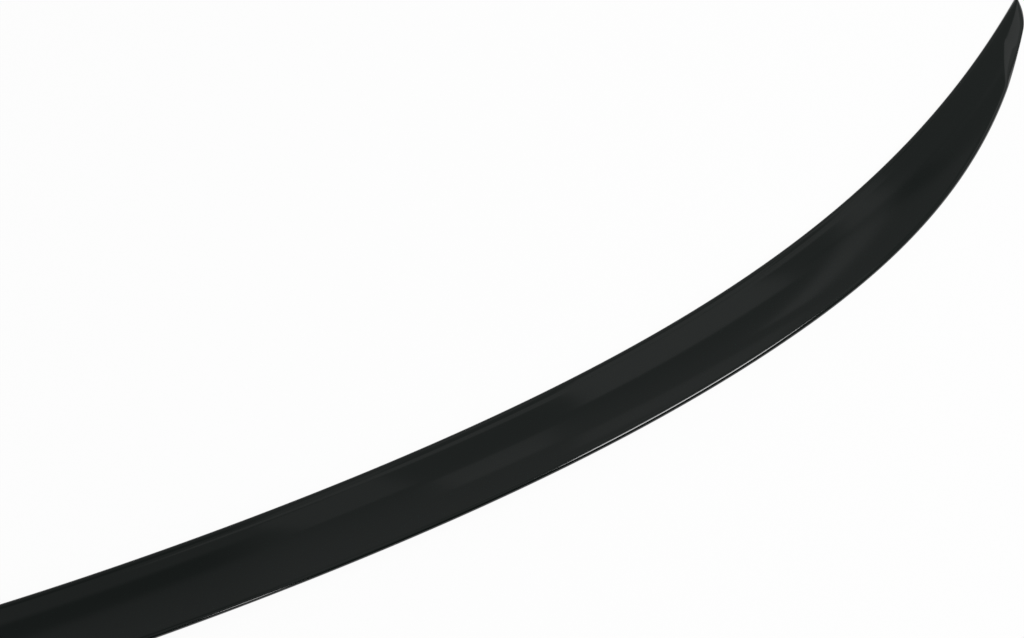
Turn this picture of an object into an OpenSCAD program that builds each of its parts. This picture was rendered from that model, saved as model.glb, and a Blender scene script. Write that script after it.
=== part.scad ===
// Rear lip spoiler for a car's boot lid: one hollow plastic moulding.
// Seen from behind, +X is to the right, +Y is forward and +Z is up.
// The origin is the centre of the front bonding land, on the line of symmetry.

/* [Plan] */
// Length from tip to tip, straight across the car
span = 1200; // [1000:10:1400]
// Depth from the front edge to the trailing edge at the centre
chord = 46; // [40:1:60]
// How far the tips reach forward of the middle
sweep = 152; // [60:2:200]
// Share of the sweep that is an even bow, the rest gathers near the tips
bow_share = 0.49; // [0.3:0.01:1]
// How far the crowned boot lid drops from the middle to the tips
crown = 14; // [0:1:24]

/* [Tips] */
// Distance from the tip over which the depth narrows
taper_l = 255; // [160:5:300]
// Power of the narrowing, 1 is a straight taper
taper_power = 2.9; // [1.8:0.1:3.2]
// Share of the depth that is lost before the tip rounds off
taper_loss = 0.8; // [0.5:0.01:0.86]
// Length of the rounding that closes the tip
cap_l = 14; // [8:0.5:30]
// Share of the lip's height that is lost on the way to the tip
lip_fade = 0.5; // [0:0.05:0.6]
// Power by which the height follows the depth towards the tip
lip_power = 2; // [1:0.1:3]
// Length of the facet that bends down at each tip
facet_l = 52; // [30:1:60]
// Width that the facet would reach if the tip were deep enough
facet_w = 18; // [8:0.5:20]
// Drop of that facet
facet_h = 2; // [1:0.2:4]

/* [Section] */
// Height above the boot lid at which the trailing edge starts to round over
lip_h = 19.5; // [15:0.5:28]
// Height of the upper surface just behind the front edge
front_h = 4; // [3.5:0.25:5]
// Width of the shallow rounding along the front edge
front_round = 4.2; // [3:0.2:7]
// Drop of that rounding, below which the front edge is upright
front_drop = 1.8; // [0.8:0.1:2.4]
// Power of the hollow upper surface, 1 is flat
hollow = 1.7; // [1.2:0.05:2.4]
// Depth of the rounded trailing edge
nose_w = 3.6; // [2.4:0.1:4.4]
// Drop of the rounded trailing edge
nose_h = 2.6; // [1.6:0.1:3]
// How far the trailing edge overhangs the foot of the rear face
overhang = 8; // [4:0.5:12]
// Power of the rear face, 1 is straight and more is upright at its foot
rear_lean = 1.6; // [1.2:0.05:2.4]

/* [Underside] */
// Thickness of the skin
wall = 3; // [2.4:0.1:3.4]
// Width of the rim that hides the tape
rim_w = 1.5; // [1:0.1:2.5]
// How far the rim stands below the bonding lands
rim_h = 0.8; // [0.4:0.1:1.2]
// Width of the front bonding land
front_land = 9; // [7:0.5:12]
// Width of the rear bonding land
rear_land = 7; // [5:0.5:9]
// Thickness of the rear bonding land
land_t = 2.6; // [2:0.2:3.4]
// Length of the solid end at each tip
solid_tip = 96; // [70:2:140]
// Distance between the stiffening ribs
rib_pitch = 52; // [30:2:90]
// Thickness of a rib at its free edge
rib_t = 1.8; // [1.2:0.1:2.6]
// How much thicker a rib is at its root
rib_draft = 0.8; // [0:0.1:1.2]
// Gap between a rib's free edge and the level of the lands
rib_gap = 0.6; // [0.2:0.1:1.5]

/* [Finish] */
// Rings along the skin, an even number so that the middle land is flat
rings = 60; // [40:2:80]

/* [Hidden] */
half = span / 2;
front_y = rim_w + front_land / 2;
cavity_x = half - solid_tip;
cavity_rings = rings - 16;
rib_pairs = floor((cavity_x - rib_pitch / 4) / rib_pitch);
// Points on each stretch of the section
round_n = 5;
top_n = 10;
nose_n = 5;
rear_n = 5;
// The most of the depth or height that a stretch takes at a tip
front_share = 0.24;
nose_share = 0.3;
facet_share = 0.65;
drop_share = 0.6;
rim_share = 0.2;
// How softly the facet starts to widen
facet_ease = 0.05;
// The form of a rounding: 2 is a quarter ellipse and 1 a straight chamfer
facet_power = 1.3;
front_power = 1.6;
// How far the cutting body reaches past the underside
past = 2;

// Curves along the lip

function part_way(x) = abs(x) / half;

function edge_y(x) = front_y + sweep * (bow_share * part_way(x)^2 + (1 - bow_share) * part_way(x)^4);

function edge_slope(x) =
    sign(x) * sweep / half * (2 * bow_share * part_way(x) + 4 * (1 - bow_share) * part_way(x)^3);

function lid_z(x) = -rim_h - crown * part_way(x)^2;

// From 0 to 1 over the last stretch of the given length
function near_tip(x, length) = max(0, 1 - (half - abs(x)) / length);

// The depth narrows by a power curve, and the tip itself is half of an ellipse
function depth(x) =
    chord * (1 - taper_loss * near_tip(x, taper_l)^taper_power) * sqrt(1 - near_tip(x, cap_l)^2);

function share(x) = depth(x) / chord;

function lip(x) = front_h + (lip_h - front_h) * share(x)^lip_power * (1 - lip_fade * part_way(x)^2);

function overhang_at(x) = overhang * share(x);

function foot(x) = depth(x) - overhang_at(x);

// From 0, where the facet starts softly, to nearly 1 at the tip
function facet(x) = near_tip(x, facet_l)^2 / (near_tip(x, facet_l)^1.5 + facet_ease);

function front_w(x) = min(front_round, front_share * depth(x));

// Where the rounding of the trailing edge starts, or the facet that it turns into at the tips
function bend_w(x) = min(nose_w + (facet_w - nose_w) * facet(x), facet_share * depth(x));

function bend_v(x) = depth(x) - bend_w(x);

function rim_at(x) = min(rim_w, rim_share * foot(x));

// Curves across the lip: v runs back from the front edge, heights start at the rim

// The drop of a rounding at the share u of its width
function drop(u, power) = 1 - max(0, 1 - u^power)^(1 / power);

// The hollow curve would reach the lip's height where a plain rounding starts
function climb(x) = depth(x) - min(nose_w, nose_share * depth(x)) - front_w(x);

function climb_share(x, v) = max(0, min(v, bend_v(x)) - front_w(x)) / climb(x);

function hollow_h(x, v) = front_h + (lip(x) - front_h) * climb_share(x, v)^hollow;

function bend_h(x) = min(nose_h + (facet_h - nose_h) * facet(x), drop_share * hollow_h(x, depth(x)));

// The slope fades over the rounding, and at the tips it stops short, which leaves the facet's crease
function bend_slope(x) =
    (lip(x) - front_h) / climb(x) * hollow * climb_share(x, depth(x))^(hollow - 1) * (1 - facet(x));

function top_h(x, v) =
    let (t = max(0, 1 - (depth(x) - v) / bend_w(x)))
    hollow_h(x, v)
    + bend_slope(x) * bend_w(x) * (t - t^2 / 2)
    - bend_h(x) * drop(t, 2 - (2 - facet_power) * facet(x))
    - front_drop * drop(max(0, 1 - v / front_w(x)), front_power);

function edge_h(x) = top_h(x, depth(x));

function rear_v(x, h) = foot(x) + overhang_at(x) * min(1, h / edge_h(x))^rear_lean;

// Where the cavity's ceiling meets the inside of the rear face
function corner_v(x, v, turns) =
    turns == 0 ? v : corner_v(x, rear_v(x, top_h(x, v) - wall) - wall, turns - 1);

// The closed outline of the moulding, from the front edge over the top and back below
function skin_outline(x) = [
    for (i = [0 : round_n])
        let (v = front_w(x) * (1 - cos(90 * i / round_n)))
        [v, top_h(x, v)],
    for (i = [1 : top_n])
        let (v = front_w(x) + (bend_v(x) - front_w(x)) * i / top_n)
        [v, top_h(x, v)],
    for (i = [1 : nose_n])
        let (v = depth(x) - bend_w(x) * (1 - sin(90 * i / nose_n)))
        [v, top_h(x, v)],
    for (i = [rear_n - 1 : -1 : 0])
        let (h = edge_h(x) * i / rear_n)
        [rear_v(x, h), h],
    [foot(x) - rim_at(x), 0],
    [foot(x) - rim_at(x), rim_h],
    [rim_at(x), rim_h],
    [rim_at(x), 0],
    [0, 0]
];

// The closed outline of the hollow: up at the front land, along the ceiling, down the rear wall
function cavity_outline(x) =
    let (
        v_front = rim_w + front_land,
        v_rear = foot(x) - rim_w - rear_land,
        v_corner = corner_v(x, depth(x) - 2 * wall, 6),
        h_corner = top_h(x, v_corner) - wall,
        h_land = rim_h + land_t
    )
    [
        [v_front, -past],
        for (i = [0 : top_n])
            let (v = v_front + (v_corner - v_front) * i / top_n)
            [v, top_h(x, v) - wall],
        for (i = [1 : rear_n])
            let (h = h_corner + (h_land - h_corner) * i / rear_n)
            [rear_v(x, h) - wall, h],
        [v_rear, h_land],
        [v_rear, -past]
    ];

// A point of a section, set square to the front edge at x
function placed(x, p) =
    let (s = edge_slope(x), length = sqrt(1 + s^2))
    [x + p[0] * s / length, edge_y(x) - p[0] / length, lid_z(x) + p[1]];

// Even steps from -1 to 1 are drawn towards the tips, where the outline turns fastest
function ring_x(i, count, reach, draw) =
    let (t = 2 * i / (count - 1) - 1)
    sign(t) * reach * (1 - (1 - abs(t))^draw);

function flat_list(rows) = [for (row = rows) each row];

function wall_faces(count, per) = [
    for (i = [0 : count - 2], j = [0 : per - 1])
        let (a = i * per + j, b = i * per + (j + 1) % per)
        each [[a, b + per, b], [a, a + per, b + per]]
];

// The moulding before it is hollowed, closed by one point at each tip
module skin() {
    xs = [for (i = [1 : rings - 2]) ring_x(i, rings, half, 2)];
    per = len(skin_outline(0));
    body = flat_list([for (x = xs) [for (p = skin_outline(x)) placed(x, p)]]);
    left = len(body);
    right = left + 1;
    tips = [for (x = [-half, half]) [x, edge_y(x), lid_z(x) + front_h / 2]];
    last = left - per;
    faces = concat(
        wall_faces(len(xs), per),
        [for (j = [0 : per - 1]) [left, j, (j + 1) % per]],
        [for (j = [0 : per - 1]) [right, last + (j + 1) % per, last + j]]
    );
    polyhedron(points = concat(body, tips), faces = faces, convexity = 6);
}

// The hollow between the two bonding lands
module cavity() {
    xs = [for (i = [0 : cavity_rings - 1]) ring_x(i, cavity_rings, cavity_x, 1)];
    per = len(cavity_outline(0));
    body = flat_list([for (x = xs) [for (p = cavity_outline(x)) placed(x, p)]]);
    last = len(body) - per;
    faces = concat(
        wall_faces(len(xs), per),
        [[for (j = [0 : per - 1]) j]],
        [[for (j = [per - 1 : -1 : 0]) last + j]]
    );
    polyhedron(points = body, faces = faces, convexity = 6);
}

// One stiffening rib, square to the front edge and a little thicker at its root
module rib(x) {
    low = lid_z(x) + rim_h + rib_gap;
    high = lid_z(x) + lip_h + past;
    translate([x, edge_y(x), 0])
        rotate([0, 0, atan(edge_slope(x))])
            hull() {
                translate([-rib_t / 2, -chord, low])
                    cube([rib_t, chord, 0.01]);
                translate([-rib_t / 2 - rib_draft / 2, -chord, high])
                    cube([rib_t + rib_draft, chord, 0.01]);
            }
}

module ribs() {
    for (i = [-rib_pairs : rib_pairs])
        rib(i * rib_pitch);
}

// The whole lip in gloss black
module spoiler() {
    color([0.08, 0.08, 0.085])
        difference() {
            skin();
            difference() {
                cavity();
                ribs();
            }
        }
}

spoiler();
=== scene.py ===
# %% [markdown]
# A rear lip spoiler for a boot lid, in gloss black. The real one is a single moulding of ABS, 3 mm thick,
# that is hollow below and bonded to the lid with tape. It could be sculpted, or lofted from drawn sections
# with modifiers. Here the whole skin is one grid of points worked out from formulas, because the shape is a
# rule: one section that bows in plan, narrows to the tips and rises to a thin trailing edge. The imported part
# gives the frame.

# %% Load the frame
import math

import bpy
import numpy as np
from mathutils import Matrix, Vector


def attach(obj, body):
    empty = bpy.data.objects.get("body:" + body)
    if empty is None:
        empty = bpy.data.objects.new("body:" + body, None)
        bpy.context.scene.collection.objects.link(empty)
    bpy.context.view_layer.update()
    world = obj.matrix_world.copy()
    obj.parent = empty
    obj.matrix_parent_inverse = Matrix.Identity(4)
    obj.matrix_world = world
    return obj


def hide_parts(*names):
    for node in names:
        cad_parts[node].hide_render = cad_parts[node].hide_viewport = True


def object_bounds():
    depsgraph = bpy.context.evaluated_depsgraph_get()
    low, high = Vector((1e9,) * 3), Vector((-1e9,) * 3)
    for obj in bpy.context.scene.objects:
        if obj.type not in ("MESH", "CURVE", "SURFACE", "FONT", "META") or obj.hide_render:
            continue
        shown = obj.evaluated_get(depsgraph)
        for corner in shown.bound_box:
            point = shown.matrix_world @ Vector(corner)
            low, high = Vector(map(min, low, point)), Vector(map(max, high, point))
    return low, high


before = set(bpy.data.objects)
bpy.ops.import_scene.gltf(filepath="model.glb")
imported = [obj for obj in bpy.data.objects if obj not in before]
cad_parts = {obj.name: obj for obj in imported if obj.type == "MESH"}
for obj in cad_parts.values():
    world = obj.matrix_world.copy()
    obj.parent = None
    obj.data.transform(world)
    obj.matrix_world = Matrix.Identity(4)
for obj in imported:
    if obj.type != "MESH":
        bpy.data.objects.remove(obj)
cad_low, cad_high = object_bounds()
print("the packed part measures", [round(1000 * s, 1) for s in cad_high - cad_low], "mm")
print("its nodes are", list(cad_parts))

# %% [markdown]
# The driving sizes repeat those of the part, in metres. The plan is a bow with a little more turn near the
# tips, the depth narrows by a power curve to a rounded tip, and the section is a hollow curve up to an
# overhanging edge.

# %% Driving sizes
MM = 0.001
# The plan
SPAN = 1200 * MM
CHORD = 46 * MM
SWEEP = 152 * MM
BOW_SHARE = 0.49
CROWN = 14 * MM
# The tips
TAPER_L = 255 * MM
TAPER_POWER = 2.9
TAPER_LOSS = 0.8
CAP_L = 14 * MM
LIP_FADE = 0.5
LIP_POWER = 2.0
FACET_L = 52 * MM
FACET_W = 18 * MM
FACET_H = 2 * MM
FACET_EASE = 0.05
FACET_POWER = 1.3
# The section
LIP_H = 19.5 * MM
FRONT_H = 4 * MM
FRONT_ROUND = 4.2 * MM
FRONT_DROP = 1.8 * MM
FRONT_POWER = 1.6
HOLLOW = 1.7
NOSE_W = 3.6 * MM
NOSE_H = 2.6 * MM
OVERHANG = 8 * MM
REAR_LEAN = 1.6
# The underside
WALL = 3 * MM
RIM_W = 1.5 * MM
RIM_H = 0.8 * MM
FRONT_LAND = 9 * MM
REAR_LAND = 7 * MM
LAND_T = 2.6 * MM
SOLID_TIP = 96 * MM
RIB_PITCH = 52 * MM
RIB_T = 1.8 * MM
RIB_DRAFT = 0.8 * MM
RIB_GAP = 0.6 * MM
# The most of the depth or height that a stretch of the section takes at a tip
FRONT_SHARE = 0.24
NOSE_SHARE = 0.3
FACET_SHARE = 0.65
DROP_SHARE = 0.6
RIM_SHARE = 0.2
# Sizes worked out from those
HALF = SPAN / 2
FRONT_Y = RIM_W + FRONT_LAND / 2
CAVITY_X = HALF - SOLID_TIP
print("half the span", HALF, "m, the hollow ends at", round(CAVITY_X, 3), "m")

# %% [markdown]
# Along the lip everything depends on x, the place of a section. These functions take an array of such
# places and give the front edge, the crown of the lid and the sizes of the section there.

# %% Curves along the lip
def part_way(x):
    """How far out x is, from 0 in the middle to 1 at a tip."""
    return np.abs(x) / HALF


def edge_y(x):
    """The front edge in plan: sweep times a share of u squared and the rest of u to the fourth."""
    u = part_way(x)
    return FRONT_Y + SWEEP * (BOW_SHARE * u**2 + (1 - BOW_SHARE) * u**4)


def edge_slope(x):
    """The slope of that curve, the first derivative of edge_y."""
    u = part_way(x)
    return np.sign(x) * SWEEP / HALF * (2 * BOW_SHARE * u + 4 * (1 - BOW_SHARE) * u**3)


def lid_z(x):
    """The level of the rim: it drops from the middle by the crown times u squared."""
    return -RIM_H - CROWN * part_way(x) ** 2


def near_tip(x, length):
    """From 0 to 1 over the last stretch of the given length."""
    return np.clip(1 - (HALF - np.abs(x)) / length, 0, 1)


def depth(x):
    """The section's depth: the chord, less a power curve over the taper, times a half ellipse at the tip."""
    narrowed = 1 - TAPER_LOSS * near_tip(x, TAPER_L) ** TAPER_POWER
    return CHORD * narrowed * np.sqrt(1 - near_tip(x, CAP_L) ** 2)


def share(x):
    """The depth as a share of the middle's."""
    return depth(x) / CHORD


def lip(x):
    """The height of the trailing edge, which fades with the depth and with u squared."""
    return FRONT_H + (LIP_H - FRONT_H) * share(x) ** LIP_POWER * (1 - LIP_FADE * part_way(x) ** 2)


def foot(x):
    """The foot of the rear face: the depth less the overhang."""
    return depth(x) - OVERHANG * share(x)


def facet(x):
    """How far the trailing edge has turned into the facet: n^2 / (n^1.5 + ease), with n as in near_tip."""
    n = near_tip(x, FACET_L)
    return n**2 / (n**1.5 + FACET_EASE)


def front_w(x):
    """The width of the shallow rounding along the front edge."""
    return np.minimum(FRONT_ROUND, FRONT_SHARE * depth(x))


def bend_w(x):
    """The depth of the rounded trailing edge, or of the facet that it turns into."""
    return np.minimum(NOSE_W + (FACET_W - NOSE_W) * facet(x), FACET_SHARE * depth(x))


def bend_v(x):
    """Where that rounding starts."""
    return depth(x) - bend_w(x)


def rim_at(x):
    """The width of the rim below."""
    return np.minimum(RIM_W, RIM_SHARE * foot(x))


print("the middle section is", 1000 * depth(np.zeros(1))[0], "mm deep")

# %% [markdown]
# Across the lip, v runs back from the front edge and heights start at the rim. The upper surface is one
# power curve that fades into a rounded trailing edge. At the tips the rounding widens into a facet with a
# crease, which is the curve stopped short, and along the front edge a shallow rounding is taken off.

# %% Curves across the lip
def drop(u, power):
    """The drop of a rounding, 1 - (1 - u^p)^(1/p): p is 2 for a quarter ellipse and 1 for a chamfer."""
    return 1 - np.clip(1 - u**power, 0, 1) ** (1 / power)


def climb(x):
    """The width over which the hollow curve would reach the lip's height."""
    return depth(x) - np.minimum(NOSE_W, NOSE_SHARE * depth(x)) - front_w(x)


def climb_share(x, v):
    """How far along that climb v is, from 0, held where the trailing edge starts to round over."""
    return np.clip(np.minimum(v, bend_v(x)) - front_w(x), 0, None) / climb(x)


def hollow_h(x, v):
    """The height of the hollow curve: the front edge's plus the rest times the share to the given power."""
    return FRONT_H + (lip(x) - FRONT_H) * climb_share(x, v) ** HOLLOW


def bend_h(x):
    """The drop of the rounded trailing edge or of the facet."""
    return np.minimum(NOSE_H + (FACET_H - NOSE_H) * facet(x), DROP_SHARE * hollow_h(x, depth(x)))


def bend_slope(x):
    """The hollow curve's slope where the rounding starts, which the tip's facet doesn't take over."""
    steep = (lip(x) - FRONT_H) / climb(x) * HOLLOW * climb_share(x, depth(x)) ** (HOLLOW - 1)
    return steep * (1 - facet(x))


def top_h(x, v):
    """The height of the upper surface at v: the hollow curve, its fading slope and the two roundings."""
    t = np.clip(1 - (depth(x) - v) / bend_w(x), 0, 1)
    front = np.clip(1 - v / front_w(x), 0, 1)
    fading = bend_slope(x) * bend_w(x) * (t - t**2 / 2)
    rounding = bend_h(x) * drop(t, 2 - (2 - FACET_POWER) * facet(x))
    return hollow_h(x, v) + fading - rounding - FRONT_DROP * drop(front, FRONT_POWER)


def edge_h(x):
    """Where the rounded trailing edge ends and the rear face begins."""
    return top_h(x, depth(x))


def rear_v(x, h):
    """The rear face at height h: upright at the foot, then leaning out by a power curve."""
    return foot(x) + OVERHANG * share(x) * np.clip(h / edge_h(x), 0, 1) ** REAR_LEAN


def corner_v(x):
    """Where the hollow's ceiling meets the inside of the rear face, found by six rounds of substitution."""
    v = depth(x) - 2 * WALL
    for _ in range(6):
        v = rear_v(x, top_h(x, v) - WALL) - WALL
    return v


print("the trailing edge stands", round(1000 * lip(np.zeros(1))[0], 1), "mm high")

# %% [markdown]
# The outline of a section is a loop: over the top, down the rear face, and forward along the underside,
# where it runs in and out of the hollow. A moulding has no sharp corner, so each corner becomes a small
# curve.

# %% The outline of a section
# Points on each stretch, from the front rounding over the top and back along the ceiling of the hollow
ROUND_N = 10
TOP_N = 56
NOSE_N = 14
REAR_N = 12
INNER_N = 4
CEILING_N = 12
# A corner's curve has this many steps, this radius, and at most this share of a side
CORNER_N = 4
CORNER_R = 0.5 * MM
CORNER_SHARE = 0.45
TINY = 1e-9


def steps(count, first=0):
    """Even steps from 0 to 1, with the first few left out, as one row."""
    return (np.arange(first, count + 1) / count)[None, :]


def upper_loop(x):
    """From the front rim over the top to the foot of the rear face, as (v, h) arrays."""
    fw, nw, d = front_w(x), bend_w(x), depth(x)
    v_front = fw * (1 - np.cos(math.pi / 2 * steps(ROUND_N)))
    v_top = fw + (d - nw - fw) * steps(TOP_N, 1)
    v_nose = d - nw * (1 - np.sin(math.pi / 2 * steps(NOSE_N, 1)))
    v = np.hstack([v_front, v_top, v_nose])
    h_rear = edge_h(x) * (1 - steps(REAR_N, 1)[:, :-1])
    return np.hstack([v, rear_v(x, h_rear)]), np.hstack([top_h(x, v), h_rear])


def hollow_loop(x):
    """From the rear land up inside the rear face, and by the ceiling to the front land, as (v, h) arrays."""
    rim = RIM_H + 0 * x
    land = rim + LAND_T
    v_rear = foot(x) - RIM_W - REAR_LAND
    v_front = RIM_W + FRONT_LAND + 0 * x
    v_top = corner_v(x)
    h_inner = land + (top_h(x, v_top) - WALL - land) * steps(INNER_N)[:, :-1]
    v_ceiling = v_top + (v_front - v_top) * steps(CEILING_N)
    v = np.hstack([v_rear, v_rear, rear_v(x, h_inner) - WALL, v_ceiling, v_front])
    return v, np.hstack([rim, land, h_inner, top_h(x, v_ceiling) - WALL, rim])


def reach(side, radius):
    """How far a corner's curve runs along a side: the radius, or at most a share of the side."""
    length = np.linalg.norm(side, axis=-1, keepdims=True)
    return side * np.minimum(radius / np.maximum(length, TINY), CORNER_SHARE)


def rounded(v, h, radius):
    """Each corner p becomes the curve (1 - t)^2 a + 2 t (1 - t) p + t^2 b, with a and b on its two sides."""
    p = np.stack([v.T, h.T], -1)
    corner = p[1:-1]
    a = corner + reach(p[:-2] - corner, radius)
    b = corner + reach(p[2:] - corner, radius)
    t = steps(CORNER_N)[0][None, :, None, None]
    curve = (1 - t) ** 2 * a[:, None] + 2 * t * (1 - t) * corner[:, None] + t**2 * b[:, None]
    curve = curve.reshape(-1, *curve.shape[2:])
    return curve[..., 0].T, curve[..., 1].T


print("a section has", ROUND_N + TOP_N + NOSE_N + REAR_N, "points from the front edge to the foot")

# %% [markdown]
# The ribs and the two ends of the hollow are where the hollow's outline closes up to a shallow one. An
# openness of 1 is the full hollow and 0 is a rib's free edge, so a rib is four sections: two at its roots
# and two at its edge.

# %% Where the hollow is open
def rib_places():
    """The middles of the ribs, at an even pitch out from the centre."""
    pairs = math.floor((CAVITY_X - RIB_PITCH / 4) / RIB_PITCH)
    return np.arange(-pairs, pairs + 1) * RIB_PITCH


def openness(x):
    """1 in the hollow, 0 on a rib's edge and past the ends, with the walls' draft as a straight ramp."""
    gap = np.min(np.abs(x - rib_places()[None, :]), axis=1, keepdims=True)
    rib = np.clip((gap - RIB_T / 2) / (RIB_DRAFT / 2), 0, 1)
    end = np.clip((CAVITY_X - np.abs(x)) / RIB_DRAFT, 0, 1)
    return np.minimum(rib, end)


print(len(rib_places()), "ribs stand", round(1000 * RIB_PITCH), "mm apart")

# %% [markdown]
# On a rib and in the solid tips the same points lie along a straight line between the lands, so that every
# section has as many points as the next one and the grid stays whole.

# %% The underside of a section
# In a narrow tip that line keeps to at least this part of the width at the foot
FLAT_FROM = 0.4
FLAT_TO = 0.6


def flat_loop(x, v, h):
    """The hollow's points laid on a line at the level of a rib's free edge, spaced as on the hollow."""
    length = np.hypot(np.diff(v, axis=1), np.diff(h, axis=1))
    so_far = np.cumsum(np.hstack([0 * x, length]), axis=1)
    v_rear = np.maximum(foot(x) - RIM_W - REAR_LAND, FLAT_TO * foot(x))
    v_front = np.minimum(RIM_W + FRONT_LAND, FLAT_FROM * foot(x))
    level = RIM_H + RIB_GAP * (np.abs(x) < CAVITY_X - RIB_DRAFT / 2) + 0 * v
    level[:, [0, -1]] = RIM_H
    return v_rear + (v_front - v_rear) * so_far / so_far[:, -1:], level


def lower_loop(x):
    """From the rear face's foot forward to the front rim: o times the hollow plus 1 - o times the line."""
    o = openness(x)
    hollow = hollow_loop(x)
    blended = [np.where(o > 0, o * a + (1 - o) * b, b) for a, b in zip(hollow, flat_loop(x, *hollow))]
    first_h = edge_h(x) / REAR_N
    rim = rim_at(x)
    inside = foot(x) - rim
    rim_h = RIM_H + 0 * x
    v = [rear_v(x, first_h), foot(x), inside, inside, blended[0], rim, rim, 0 * x, 0 * x]
    h = [first_h, 0 * x, 0 * x, rim_h, blended[1], rim_h, 0 * x, 0 * x, FRONT_H - FRONT_DROP + 0 * x]
    return rounded(np.hstack(v), np.hstack(h), CORNER_R * share(x))


print("the underside of a section has", lower_loop(np.zeros((1, 1)))[0].shape[1], "points")

# %% [markdown]
# The sections stand closer towards the tips, where the outline turns fastest, and each rib and each end of
# the hollow has its own.

# %% Where the sections stand
SECTION_N = 272
SECTION_DRAW = 2.2
RIB_CLEAR = 0.6 * MM


def section_places():
    """Steps t from -1 to 1 drawn outwards, half (1 - (1 - |t|)^draw), and those of the ribs and the ends."""
    t = np.linspace(-1, 1, SECTION_N)[1:-1]
    base = np.sign(t) * HALF * (1 - (1 - np.abs(t)) ** SECTION_DRAW)
    root = RIB_T / 2 + RIB_DRAFT / 2
    beside = rib_places()[:, None] + np.array([-root, -RIB_T / 2, RIB_T / 2, root])[None, :]
    ends = np.array([-CAVITY_X, -CAVITY_X + RIB_DRAFT, CAVITY_X - RIB_DRAFT, CAVITY_X])
    extra = np.concatenate([beside.ravel(), ends])
    near = np.min(np.abs(base[:, None] - extra[None, :]), axis=1) < RIB_CLEAR
    return np.sort(np.concatenate([base[~near], extra]))[:, None]


PLACES = section_places()
print(len(PLACES), "sections, of which", 4 * len(rib_places()), "shape the ribs")

# %% [markdown]
# A point of a section is carried back from the front edge, square to it in plan. All the points together
# are one array, and a mesh needs only those points and the corners of each face. One point closes each tip.

# %% Build the skin
CREASE_ANGLE = 38


def carried(x, v, h):
    """The point v back from the front edge at x, square to the edge, and h above the rim."""
    slope = edge_slope(x)
    length = np.sqrt(1 + slope**2)
    return np.stack([x + v * slope / length, edge_y(x) - v / length, lid_z(x) + h], -1)


def skin_points(x):
    """The whole grid of points, one row for each section, and how many of a row belong to the upper side."""
    upper, lower = upper_loop(x), lower_loop(x)
    v, h = (np.hstack(pair) for pair in zip(upper, lower))
    return carried(x, v, h), upper[0].shape[1]


def grid_faces(rows, columns):
    """Quads over a closed tube of rows times columns points, wound so that they face outwards."""
    row = columns * np.arange(rows - 1)[:, None]
    a = row + np.arange(columns)
    b = row + np.roll(np.arange(columns), -1)
    return np.stack([a, b, b + columns, a + columns], -1).reshape(-1, 4)


def tip_faces(rows, columns):
    """Triangles from the first and the last row to the two points that follow the grid."""
    a = np.arange(columns)
    b = np.roll(a, -1)
    last = (rows - 1) * columns
    left = np.full(columns, rows * columns)
    return np.vstack([np.stack([left, b, a], -1), np.stack([left + 1, last + a, last + b], -1)])


points, upper_count = skin_points(PLACES)
rows, columns = points.shape[:2]
tip_x = np.array([[-HALF], [HALF]])
tips = np.stack([tip_x, edge_y(tip_x), lid_z(tip_x) + FRONT_H / 2], -1).reshape(-1, 3)
mesh = bpy.data.meshes.new("spoiler_skin")
faces = grid_faces(rows, columns).tolist() + tip_faces(rows, columns).tolist()
mesh.from_pydata(np.vstack([points.reshape(-1, 3), tips]).tolist(), [], faces)
mesh.shade_smooth()
mesh.set_sharp_from_angle(angle=math.radians(CREASE_ANGLE))
skin = bpy.data.objects.new("gloss_skin", mesh)
bpy.context.scene.collection.objects.link(skin)
print("the skin has", len(mesh.polygons), "faces in", rows, "sections of", columns, "points")

# %% [markdown]
# A material can read a value that each point of the mesh carries. Here it says whether a point is on the
# side that was polished in the mould, so that one plastic can be glossy above and satin below.

# %% Mark the underside
def underside_share():
    """0 on the upper side and the rear face, 1 on the rim, lands, ribs and hollow."""
    value = np.zeros((rows, columns), np.float32)
    # The first and the last corner of the lower loop still belong to the polished side
    value[:, upper_count + CORNER_N + 1 : -CORNER_N - 1] = 1
    return np.concatenate([value.ravel(), np.zeros(len(tips), np.float32)])


mark = mesh.attributes.new("underside", "FLOAT", "POINT")
mark.data.foreach_set("value", underside_share())
print("points on the underside:", int(underside_share().sum()))

# %% [markdown]
# Two helpers serve every material: one turns a colour as it is read off a screen into linear light, and one
# adds a node and joins it up.

# %% Helpers for materials
def colour(hex_code):
    """An sRGB hex colour as linear red, green, blue and alpha."""
    parts = np.array([int(hex_code[i : i + 2], 16) for i in (1, 3, 5)]) / 255
    linear = np.where(parts <= 0.04045, parts / 12.92, ((parts + 0.055) / 1.055) ** 2.4)
    return (*linear.tolist(), 1.0)


def add(tree, kind, settings=None, *values, **links):
    """A node with its settings. Values go to its inputs in order and links to the inputs of that name, and
    each of them is a plain value or the socket to join."""
    node = tree.nodes.new(kind)
    for name, value in (settings or {}).items():
        setattr(node, name, value)
    named = [(node.inputs[name.replace("_", " ")], value) for name, value in links.items()]
    for socket, value in list(zip(node.inputs, values)) + named:
        if isinstance(value, bpy.types.NodeSocket):
            tree.links.new(value, socket)
        else:
            socket.default_value = value
    return node


print("mid grey #808080 is", round(colour("#808080")[0], 3), "in linear light")

# %% [markdown]
# The finish is ABS moulded in black against a polished steel surface. To the eye it is a nearly black body
# under a clear mirror-like skin, with the faint waviness that plastic keeps as it shrinks in the mould. The
# underside came off a spark-eroded surface, which leaves a fine satin grain. ABS has an index of refraction
# of about 1.52.

# %% Moulded ABS, gloss above and satin below
BLACK_ABOVE = "#010a07"
BLACK_BELOW = "#19191b"
ABS_IOR = 1.52
POLISHED = 0.09
ERODED = 0.42
# Waves of about 6 mm stand for the shrinkage of the skin, a few thousandths of a millimetre high
WAVE_W = 6 * MM
WAVE_H = 0.02 * MM
WAVE_STRENGTH = 0.12
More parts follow.
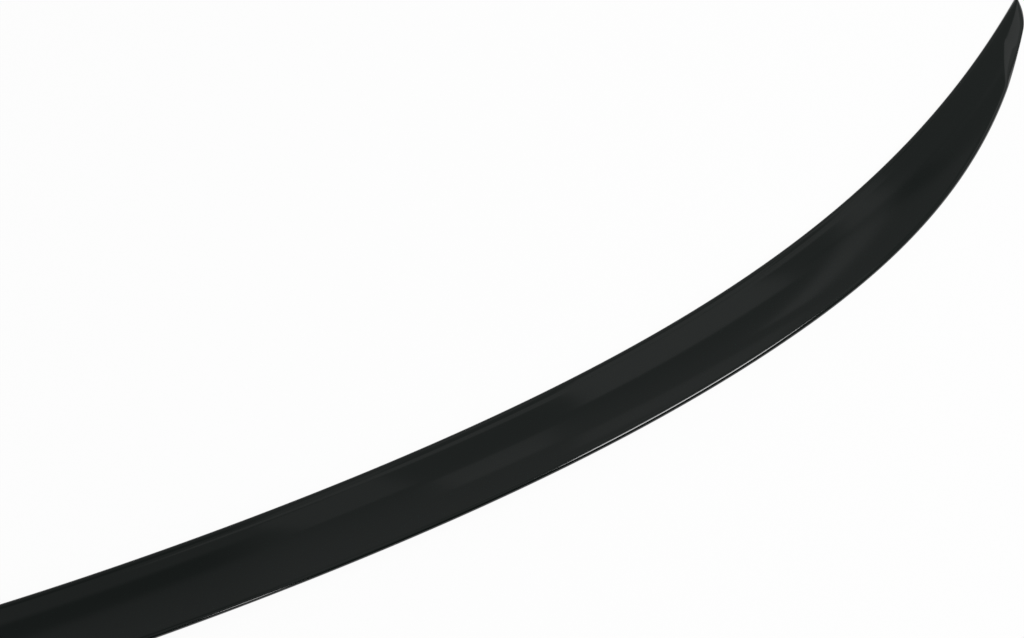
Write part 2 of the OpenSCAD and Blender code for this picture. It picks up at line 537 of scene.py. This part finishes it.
# Grain of 0.4 mm stands for the spark-eroded steel, drawn coarser than the real 0.1 mm so that it shows
GRAIN_W = 0.4 * MM
GRAIN_H = 0.03 * MM


def moulded_black_abs():
    """One plastic, whose roughness, grain and tone go from the polished side's to the underside's."""
    material = bpy.data.materials.new("moulded_black_abs")
    material.use_nodes = True
    tree = material.node_tree
    tree.nodes.clear()
    place = add(tree, "ShaderNodeTexCoord").outputs["Object"]
    below = add(tree, "ShaderNodeAttribute", {"attribute_name": "underside"}).outputs["Fac"]
    waves = add(tree, "ShaderNodeTexNoise", Vector=place, Scale=1 / WAVE_W, Detail=1.0)
    grain = add(tree, "ShaderNodeTexNoise", Vector=place, Scale=1 / GRAIN_W, Detail=2.0)
    wavy = add(tree, "ShaderNodeBump", Height=waves.outputs["Fac"], Strength=WAVE_STRENGTH, Distance=WAVE_H)
    rough = add(tree, "ShaderNodeBump", Height=grain.outputs["Fac"], Strength=below, Distance=GRAIN_H,
                Normal=wavy.outputs["Normal"])
    sheen = add(tree, "ShaderNodeMapRange", Value=below, To_Min=POLISHED, To_Max=ERODED)
    # A Mix node has inputs for every kind of value, and its two colours are the inputs 6 and 7
    tone = add(tree, "ShaderNodeMix", {"data_type": "RGBA"}, below)
    tone.inputs[6].default_value = colour(BLACK_ABOVE)
    tone.inputs[7].default_value = colour(BLACK_BELOW)
    shader = add(tree, "ShaderNodeBsdfPrincipled", Base_Color=tone.outputs[2],
                 Roughness=sheen.outputs["Result"], Normal=rough.outputs["Normal"], IOR=ABS_IOR)
    add(tree, "ShaderNodeOutputMaterial", Surface=shader.outputs["BSDF"])
    return material


mesh.materials.append(moulded_black_abs())
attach(skin, "root")
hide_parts("spoiler")
print("the skin rides on the part and stands for its solid")

# %% [markdown]
# The stage is a pale round floor that curves up far away, like the sweep of a photographer's backdrop, so
# that no horizon shows. It gives the camera plain white, and keeps a little of the shadow.

# %% The floor
FLOOR_R = 30.0
SWEEP_R = 6.0
SWEEP_RINGS = 16
FLOOR_SPOKES = 96
FLOOR_Z = cad_low.z
FLOOR_PAINT = "#f4f4f4"
FLOOR_WHITE = 0.95


def pale_floor():
    """Plain white to the camera and where it is mirrored or seen through, and a matt paint to other light."""
    material = bpy.data.materials.new("pale_floor")
    material.use_nodes = True
    tree = material.node_tree
    tree.nodes.clear()
    ray = add(tree, "ShaderNodeLightPath").outputs
    seen = add(tree, "ShaderNodeMath", {"operation": "MAXIMUM"}, ray["Is Camera Ray"], ray["Is Glossy Ray"])
    seen = add(tree, "ShaderNodeMath", {"operation": "MAXIMUM"}, seen.outputs["Value"],
               ray["Is Transmission Ray"])
    whiteness = add(tree, "ShaderNodeMath", {"operation": "MULTIPLY"}, seen.outputs["Value"], FLOOR_WHITE)
    paint = add(tree, "ShaderNodeBsdfDiffuse", Color=colour(FLOOR_PAINT))
    white = add(tree, "ShaderNodeEmission", Color=(1, 1, 1, 1), Strength=1.0)
    mixed = add(tree, "ShaderNodeMixShader", None, whiteness.outputs["Value"], paint.outputs["BSDF"],
                white.outputs["Emission"])
    add(tree, "ShaderNodeOutputMaterial", Surface=mixed.outputs["Shader"])
    return material


def swept_floor():
    """A disc with a rim of r = R + s sin(a) and z = s (1 - cos(a)), where a goes from 0 to 90 degrees."""
    a = math.pi / 2 * steps(SWEEP_RINGS - 1).T
    turn = 2 * math.pi * np.arange(FLOOR_SPOKES) / FLOOR_SPOKES
    radius = FLOOR_R + SWEEP_R * np.sin(a)
    height = FLOOR_Z + SWEEP_R * (1 - np.cos(a)) + 0 * turn
    rim = np.stack([radius * np.cos(turn), radius * np.sin(turn), height], -1).reshape(-1, 3)
    bands = grid_faces(SWEEP_RINGS, FLOOR_SPOKES)[:, ::-1]
    shape = bpy.data.meshes.new("floor")
    shape.from_pydata(rim.tolist(), [], [list(range(FLOOR_SPOKES))] + bands.tolist())
    shape.shade_smooth()
    return shape


floor_mesh = swept_floor()
floor_mesh.materials.append(pale_floor())
floor = bpy.data.objects.new("floor", floor_mesh)
bpy.context.scene.collection.objects.link(floor)
print("the floor lies at", round(1000 * FLOOR_Z, 1), "mm")

# %% [markdown]
# A gloss black surface shows hardly anything but what it mirrors, so the room is what sets its greys. The
# room is dim behind the lip, grey overhead and paler ahead, and that is a rule on the forward part of a
# direction. Two patches ahead are dimmer: one on the left, which the middle of the lip mirrors, and a
# narrow one on the right, which shows beside the pale streak near the tip.

# %% The room
BEHIND = 0.08
OVERHEAD = 0.30
AHEAD = 0.36
LEFT_DIMMING = 0.11
RIGHT_DIMMING = 0.10
# A ramp goes smoothly from one level to another while a part of the direction, from -1 to 1, passes by:
# the part, where the ramp starts and ends, and the two levels
RAMPS = {
    "behind": ("Y", -0.65, -0.25, BEHIND, OVERHEAD),
    "ahead": ("Y", 0.60, 0.95, 0.0, AHEAD - OVERHEAD),
    "left": ("X", -0.22, -0.15, LEFT_DIMMING, 0.0),
    "left_from": ("Y", 0.43, 0.53, 0.0, 1.0),
    "right": ("X", 0.29, 0.31, 0.0, RIGHT_DIMMING),
    "right_from": ("Y", 0.52, 0.58, 0.0, 1.0),
    "fading": ("Y", 0.68, 0.77, 1.0, 0.4),
}
# The rule: behind + ahead - (left times left_from + right times right_from) times fading, step by step
RULE = [
    ("left", "MULTIPLY", "left", "left_from"),
    ("right", "MULTIPLY", "right", "right_from"),
    ("dimming", "ADD", "left", "right"),
    ("dimming", "MULTIPLY", "dimming", "fading"),
    ("room", "ADD", "behind", "ahead"),
    ("room", "SUBTRACT", "room", "dimming"),
]


def studio_world():
    """A background whose strength follows that rule, so it depends on where a direction points."""
    world = bpy.data.worlds.new("studio")
    bpy.context.scene.world = world
    world.use_nodes = True
    tree = world.node_tree
    tree.nodes.clear()
    place = add(tree, "ShaderNodeTexCoord")
    direction = add(tree, "ShaderNodeSeparateXYZ", Vector=place.outputs["Generated"]).outputs
    level = {}
    for name, (part, start, end, low, high) in RAMPS.items():
        node = add(tree, "ShaderNodeMapRange", {"interpolation_type": "SMOOTHSTEP"}, Value=direction[part],
                   From_Min=start, From_Max=end, To_Min=low, To_Max=high)
        level[name] = node.outputs["Result"]
    for name, operation, first, second in RULE:
        node = add(tree, "ShaderNodeMath", {"operation": operation}, level[first], level[second])
        level[name] = node.outputs["Value"]
    room = add(tree, "ShaderNodeBackground", Color=(1, 1, 1, 1), Strength=level["room"])
    add(tree, "ShaderNodeOutputWorld", Surface=room.outputs["Background"])


studio_world()
print("the room's levels are", BEHIND, OVERHEAD, AHEAD)
print("and in the two patches", round(OVERHEAD - LEFT_DIMMING, 2), round(OVERHEAD - RIGHT_DIMMING, 2))

# %% [markdown]
# The lights are lit panels that hang face down in one plane above the lip, as in a studio with a grid
# overhead. Each is given by its edges across and ahead in millimetres, so a mirrored edge on the lip can be
# traced to its panel. Two are strong. The key lights the whole object and draws the white line on the
# trailing edge, and a small one behind draws the short line near the middle.

# %% The lights
GRID_HEIGHT = 1.5
# Name, left, right, near and far edge, level, and where a panel is turned, by how many degrees
PANELS = [
    ("key", 480, 1070, -470, 220, 11.5),
    ("main", 430, 900, 520, 1330, 0.22),
    ("small", -230, 30, 450, 1400, 0.12),
    ("streak", 980, 1090, 600, 2300, 0.22, 8),
    ("far", 60, 350, 1600, 2500, 0.13),
    ("farthest", 420, 1000, 2700, 3600, 0.10),
    ("right", 1190, 1700, 1195, 2000, 0.09),
    ("short_line", -425, -275, -1800, -1000, 8.5),
    ("front_line", -475, 1275, 335, 505, 0.20, 11.9),
    ("side", 1900, 3000, 150, 1450, 0.36),
    ("side_far", 3000, 4200, 150, 1450, 0.14),
]


def hung_panel(name, left, right, near, far, level, turn=0.0):
    """A rectangle facing down between those edges, whose light adds that level to what the lip mirrors."""
    width, length = (right - left) * MM, (far - near) * MM
    lamp = bpy.data.lights.new(name, "AREA")
    lamp.shape = "RECTANGLE"
    lamp.size = width
    lamp.size_y = length
    lamp.energy = level * math.pi * width * length
    light = bpy.data.objects.new(name, lamp)
    bpy.context.scene.collection.objects.link(light)
    middle = Vector(((left + right) / 2 * MM, (near + far) / 2 * MM, GRID_HEIGHT))
    light.matrix_world = Matrix.Translation(middle) @ Matrix.Rotation(math.radians(turn), 4, "Z")


for panel in PANELS:
    hung_panel(*panel)
print(len(PANELS), "panels hang", GRID_HEIGHT, "m above the lip")

# %% [markdown]
# The camera looks down on the right half from behind. It is aimed at one point of the lip and turned a
# little about its own axis, which is how the outline falls in the picture.

# %% The camera
VIEW_AZIMUTH = -24.18
VIEW_ELEVATION = 75.99
VIEW_ROLL = 4.0
VIEW_DISTANCE = 667.25 * MM
VIEW_CENTRE = Vector((211.45 * MM, 58.64 * MM + FRONT_Y, -RIM_H))
LENS = 39.34
SENSOR_W = 36


def photo_camera():
    """A camera on a sphere round the centre of the view, then rolled about its own axis."""
    a, e, r = (math.radians(d) for d in (VIEW_AZIMUTH, VIEW_ELEVATION, VIEW_ROLL))
    back = Vector((math.sin(a) * math.cos(e), -math.cos(a) * math.cos(e), math.sin(e)))
    right = (-back).cross(Vector((0, 0, 1))).normalized()
    up = right.cross(-back)
    turned_right = math.cos(r) * right + math.sin(r) * up
    turned_up = math.cos(r) * up - math.sin(r) * right
    lens = bpy.data.cameras.new("camera")
    lens.lens = LENS
    lens.sensor_width = SENSOR_W
    lens.sensor_fit = "HORIZONTAL"
    camera = bpy.data.objects.new("camera", lens)
    bpy.context.scene.collection.objects.link(camera)
    turn = Matrix((turned_right, turned_up, back)).transposed().to_4x4()
    camera.matrix_world = Matrix.Translation(VIEW_CENTRE + back * VIEW_DISTANCE) @ turn
    bpy.context.scene.camera = camera
    return camera


camera = photo_camera()
print("the camera stands at", [round(c, 3) for c in camera.matrix_world.translation])

# %% [markdown]
# The last cell keeps the plain view transform, so that a colour shows about as it is written.

# %% Finish
bpy.context.scene.view_settings.view_transform = "Standard"
